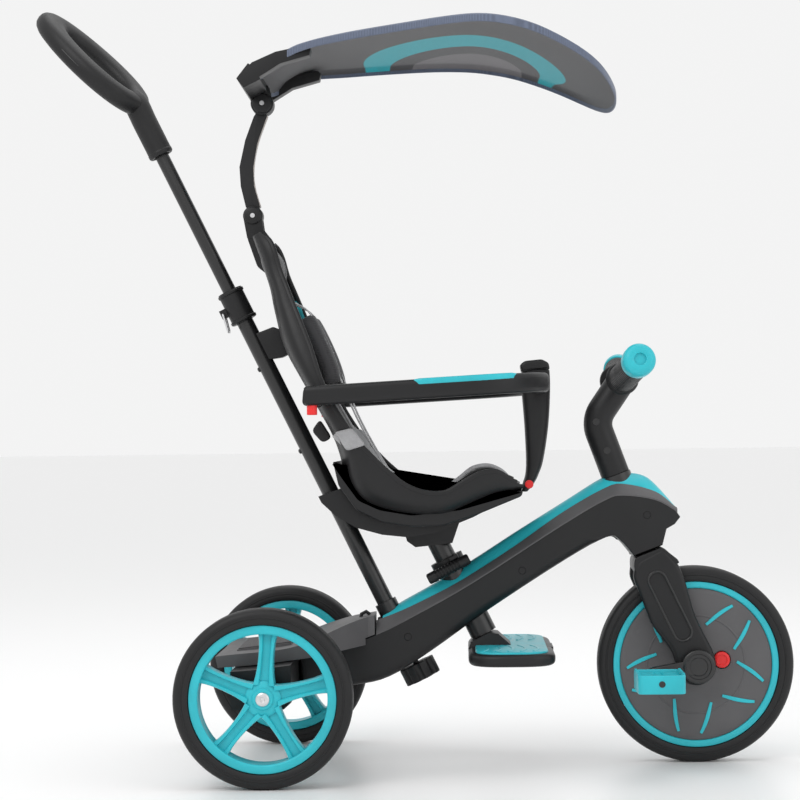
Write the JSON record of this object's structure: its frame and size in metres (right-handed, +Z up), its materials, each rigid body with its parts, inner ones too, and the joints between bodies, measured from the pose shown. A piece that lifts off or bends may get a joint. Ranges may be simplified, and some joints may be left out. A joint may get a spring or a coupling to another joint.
{
  "type": "children's tricycle",
  "caption": "Child's pedal tricycle with a parent push bar, bucket seat with safety ring and harness, sun canopy, footrest and a step deck between the rear wheels.",
  "frame": {"origin": "floor level, under the middle of the object's box", "axes": "+X forwards towards the front wheel, +Y to the rider's left, +Z up"},
  "size_m": [0.9827, 0.48, 0.996],
  "materials": {
    "black_plastic": "satin moulded, fine texture",
    "grey_plastic": "satin moulded",
    "turquoise_plastic": "smooth moulded",
    "red_plastic": "smooth moulded",
    "tyre_rubber": "matt rubber",
    "grip_rubber": "soft-touch matt",
    "black_steel": "powder coated, satin",
    "bright_steel": "zinc plated",
    "canopy_fabric": "woven polyester",
    "liner_fabric": "padded woven fabric",
    "pad_fabric": "padded mesh fabric",
    "webbing": "woven webbing"
  },
  "bodies": {
    "frame": {"steel_chassis": "black_steel", "frame_shell_left": "black_plastic", "frame_shell_right": "black_plastic", "frame_top_cover": "grey_plastic", "frame_top_strip": "turquoise_plastic", "frame_screws": "bright_steel", "rear_step_deck": "grey_plastic", "rear_axle_cover": "black_plastic", "rear_axle": "bright_steel", "rear_axle_nuts": "bright_steel", "head_bushes": "black_plastic", "seat_clamp": "black_plastic"},
    "steering": {"fork": "black_plastic", "crank_bushes": "black_plastic", "stem": "black_steel", "stem_bolts": "bright_steel", "handlebar": "black_steel", "grips": "grip_rubber", "grip_end_caps": "turquoise_plastic"},
    "front_wheel": {"front_tyre": "tyre_rubber", "front_rim": "turquoise_plastic", "front_disc_left": "grey_plastic", "front_disc_right": "grey_plastic"},
    "drive_button": {"drive_button": "red_plastic"},
    "cranks": {"crank_left": "black_steel", "crank_right": "black_steel"},
    "pedal_left": {"pedal_left": "turquoise_plastic"},
    "pedal_right": {"pedal_right": "turquoise_plastic"},
    "rear_wheel_left": {"rear_rim_left": "turquoise_plastic", "rear_tyre_left": "tyre_rubber"},
    "rear_wheel_right": {"rear_rim_right": "turquoise_plastic", "rear_tyre_right": "tyre_rubber"},
    "seat": {"seat_shell": "black_plastic", "seat_under_tray": "black_plastic", "seat_post": "black_steel", "seat_back_bracket": "black_plastic", "seat_liner": "liner_fabric", "headrest_pad": "liner_fabric", "harness_straps": "webbing", "shoulder_pads": "pad_fabric", "harness_buckle": "black_plastic"},
    "seat_clamp_lever": {"seat_clamp_lever": "black_plastic"},
    "canopy_arm": {"canopy_arm": "black_plastic", "canopy_hinge_pins": "bright_steel"},
    "canopy": {"canopy_bracket": "black_plastic", "canopy_sheet": "canopy_fabric"},
    "safety_ring": {"safety_ring": "black_plastic", "ring_inlays": "turquoise_plastic", "ring_post_cap": "black_plastic"},
    "ring_button_left": {"ring_button_left": "red_plastic"},
    "ring_button_right": {"ring_button_right": "red_plastic"},
    "ring_button_front": {"ring_button_front": "red_plastic"},
    "push_bar": {"push_bar_lower_tube": "black_steel", "push_bar_collar": "black_plastic"},
    "push_bar_clip": {"push_bar_clip": "bright_steel"},
    "push_bar_upper": {"push_bar_upper_tube": "black_steel", "push_handle": "grip_rubber"},
    "push_bar_knob": {"push_bar_knob": "black_plastic"},
    "footrest": {"footrest_bracket": "black_plastic", "footrest_pad": "turquoise_plastic"}
  },
  "joints": [
    {"name": "steer", "type": "hinge", "parent": "frame", "child": "steering", "pos_m": [0.2645, 0, 0.3738], "axis": [-0.342, 0, 0.9397], "range_deg": [-30, 30]},
    {"name": "front_wheel_spin", "type": "hinge", "parent": "steering", "child": "front_wheel", "pos_m": [0.3642, 0, 0.127], "axis": [0, 1, 0], "continuous": true},
    {"name": "crank_turn", "type": "hinge", "parent": "steering", "child": "cranks", "pos_m": [0.3642, 0, 0.127], "axis": [0, 1, 0], "continuous": true},
    {"name": "pedal_left_spin", "type": "hinge", "parent": "cranks", "child": "pedal_left", "pos_m": [0.42215, 0.147, 0.135], "axis": [0, 1, 0], "continuous": true},
    {"name": "pedal_right_spin", "type": "hinge", "parent": "cranks", "child": "pedal_right", "pos_m": [0.30625, -0.147, 0.119], "axis": [0, 1, 0], "continuous": true},
    {"name": "drive_button_press", "type": "slide", "parent": "front_wheel", "child": "drive_button", "axis": [0, 1, 0], "range_m": [0, 0.004], "stiffness_N_per_m": 300, "springref_m": -0.002},
    {"name": "rear_wheel_left_spin", "type": "hinge", "parent": "frame", "child": "rear_wheel_left", "pos_m": [-0.182, 0.218, 0.11], "axis": [0, 1, 0], "continuous": true},
    {"name": "rear_wheel_right_spin", "type": "hinge", "parent": "frame", "child": "rear_wheel_right", "pos_m": [-0.182, -0.218, 0.11], "axis": [0, 1, 0], "continuous": true},
    {"name": "seat_height", "type": "slide", "parent": "frame", "child": "seat", "axis": [-0.4384, 0, 0.8988], "range_m": [-0.012, 0]},
    {"name": "seat_clamp_release", "type": "hinge", "parent": "frame", "child": "seat_clamp_lever", "pos_m": [0.04475, -0.033, 0.25475], "axis": [0.8928, 0, 0.4505], "range_deg": [0, 90]},
    {"name": "canopy_arm_tilt", "type": "hinge", "parent": "seat", "child": "canopy_arm", "pos_m": [-0.2062, 0, 0.7192], "axis": [0, 1, 0], "range_deg": [-20, 15]},
    {"name": "canopy_tilt", "type": "hinge", "parent": "canopy_arm", "child": "canopy", "pos_m": [-0.1924, 0, 0.8665], "axis": [0, 1, 0], "range_deg": [-25, 15]},
    {"name": "ring_pull_off", "type": "slide", "parent": "seat", "child": "safety_ring", "axis": [1, 0, 0], "range_m": [0, 0.025]},
    {"name": "ring_button_left_press", "type": "slide", "parent": "safety_ring", "child": "ring_button_left", "axis": [0, 0, 1], "range_m": [0, 0.003], "stiffness_N_per_m": 300, "springref_m": -0.002},
    {"name": "ring_button_right_press", "type": "slide", "parent": "safety_ring", "child": "ring_button_right", "axis": [0, 0, 1], "range_m": [0, 0.003], "stiffness_N_per_m": 300, "springref_m": -0.002},
    {"name": "ring_button_front_press", "type": "slide", "parent": "safety_ring", "child": "ring_button_front", "axis": [0, 1, 0], "range_m": [0, 0.003], "stiffness_N_per_m": 300, "springref_m": -0.002},
    {"name": "push_bar_lift_out", "type": "slide", "parent": "frame", "child": "push_bar", "axis": [-0.4384, 0, 0.8988], "range_m": [0, 0.055]},
    {"name": "push_bar_clip_flip", "type": "hinge", "parent": "push_bar", "child": "push_bar_clip", "pos_m": [-0.24718, 0, 0.59047], "axis": [0, 1, 0], "range_deg": [0, 90]},
    {"name": "push_bar_telescope", "type": "slide", "parent": "push_bar", "child": "push_bar_upper", "axis": [-0.4384, 0, 0.8988], "range_m": [-0.15, 0]},
    {"name": "push_bar_knob_turn", "type": "hinge", "parent": "frame", "child": "push_bar_knob", "pos_m": [-0.0363, 0, 0.206], "axis": [-0.4384, 0, 0.8988], "continuous": true},
    {"name": "footrest_pull_out", "type": "slide", "parent": "frame", "child": "footrest", "axis": [0.4384, 0, -0.8988], "range_m": [0, 0.03]}
  ],
  "couplings": [
    {"joint": "crank_turn", "follows": "front_wheel_spin", "ratio": 1}
  ]
}
